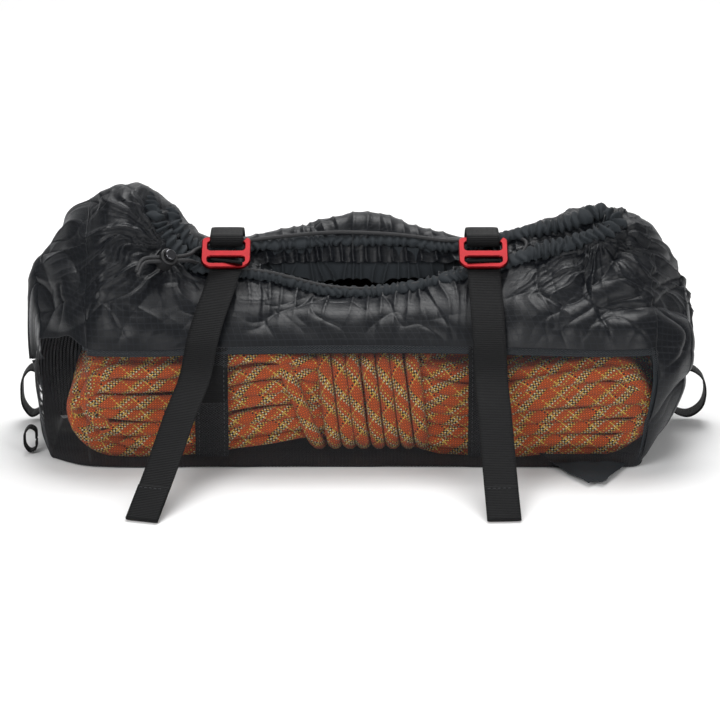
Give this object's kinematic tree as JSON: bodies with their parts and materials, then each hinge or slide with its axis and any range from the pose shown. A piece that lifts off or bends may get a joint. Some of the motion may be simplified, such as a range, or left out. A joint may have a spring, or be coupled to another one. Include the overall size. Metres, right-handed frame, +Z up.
{
  "type": "rope storage bag",
  "caption": "Long soft rope bag with a drawcord mouth, mesh window, webbing compression straps with flat metal hooks, and a hank of rope inside.",
  "frame": {"origin": "on the floor under the middle of the flat base panel", "axes": "+X along the bag's length, to the right seen from the front; front at -Y; +Z up"},
  "size_m": [0.5374, 0.2903, 0.1962],
  "materials": {
    "ripstop": "coated black ripstop with a soft sheen",
    "mesh": "open diamond mesh",
    "webbing": "matte woven webbing",
    "cord": "braided cord",
    "lock_plastic": "moulded",
    "button_metal": "polished",
    "spring_steel": "wire",
    "red_aluminium": "red anodised",
    "rope": "braided orange sheath with yellow, white and black tracers"
  },
  "bodies": {
    "bag": {"base_panel": "ripstop", "mesh_window": "mesh", "left_mesh_end": "mesh", "front_panel": "ripstop", "back_panel": "ripstop", "left_end_hood": "ripstop", "right_end_hood": "ripstop", "front_hem": "ripstop", "left_seam_binding": "ripstop", "right_seam_binding": "ripstop", "drawcord_channel": "ripstop", "drawcord": "cord", "left_front_strap": "webbing", "right_front_strap": "webbing", "left_top_strap": "webbing", "right_top_strap": "webbing", "rope_hank": "rope", "rope_wraps": "rope"},
    "left_hook_body": {"left_hook": "red_aluminium"},
    "right_hook_body": {"right_hook": "red_aluminium"},
    "left_tail_body": {"left_strap_tail": "webbing", "left_tail_hem": "webbing"},
    "right_tail_body": {"right_strap_tail": "webbing", "right_tail_hem": "webbing"},
    "cord_lock": {"cord_lock_body": "lock_plastic", "cord_lock_spring": "spring_steel"},
    "cord_lock_press": {"cord_lock_button": "button_metal"},
    "left_haul": {"left_haul_loop": "webbing"},
    "right_haul": {"right_haul_loop": "webbing"},
    "left_corner": {"left_corner_loop": "webbing"},
    "flap": {"bottom_flap": "ripstop"}
  },
  "joints": [
    {"name": "left_hook_swing", "type": "hinge", "parent": "bag", "child": "left_hook_body", "pos_m": [-0.1045, -0.00373, 0.15774], "axis": [-1, 0, 0], "range_deg": [0, 60]},
    {"name": "left_tail_lift", "type": "hinge", "parent": "left_hook_body", "child": "left_tail_body", "pos_m": [-0.1045, -0.02833, 0.14436], "axis": [-1, 0, 0], "range_deg": [0, 70]},
    {"name": "right_hook_swing", "type": "hinge", "parent": "bag", "child": "right_hook_body", "pos_m": [0.091, -0.00373, 0.15774], "axis": [-1, 0, 0], "range_deg": [0, 60]},
    {"name": "right_tail_lift", "type": "hinge", "parent": "right_hook_body", "child": "right_tail_body", "pos_m": [0.091, -0.02833, 0.14436], "axis": [-1, 0, 0], "range_deg": [0, 70]},
    {"name": "cord_lock_slide", "type": "slide", "parent": "bag", "child": "cord_lock", "axis": [-0.8085, -0.5756, 0.1226], "range_m": [0, 0.008]},
    {"name": "cord_lock_press_in", "type": "slide", "parent": "cord_lock", "child": "cord_lock_press", "axis": [-0.4987, 0.5595, -0.662], "range_m": [0, 0.0022], "stiffness_N_per_m": 400, "springref_m": -0.001, "deforming": ["cord_lock_spring"]},
    {"name": "left_haul_swing", "type": "hinge", "parent": "bag", "child": "left_haul", "pos_m": [-0.248, 0.035, 0.026], "axis": [0, 1, 0], "range_deg": [-15, 15]},
    {"name": "right_haul_swing", "type": "hinge", "parent": "bag", "child": "right_haul", "pos_m": [0.248, 0.035, 0.026], "axis": [0, 1, 0], "range_deg": [-15, 15]},
    {"name": "left_corner_swing", "type": "hinge", "parent": "bag", "child": "left_corner", "pos_m": [-0.248, -0.042, 0.0115], "axis": [0, 1, 0], "range_deg": [-10, 10]},
    {"name": "flap_lift", "type": "hinge", "parent": "bag", "child": "flap", "pos_m": [0, -0.0612, 0.0003], "axis": [-1, 0, 0], "range_deg": [0, 15]}
  ]
}
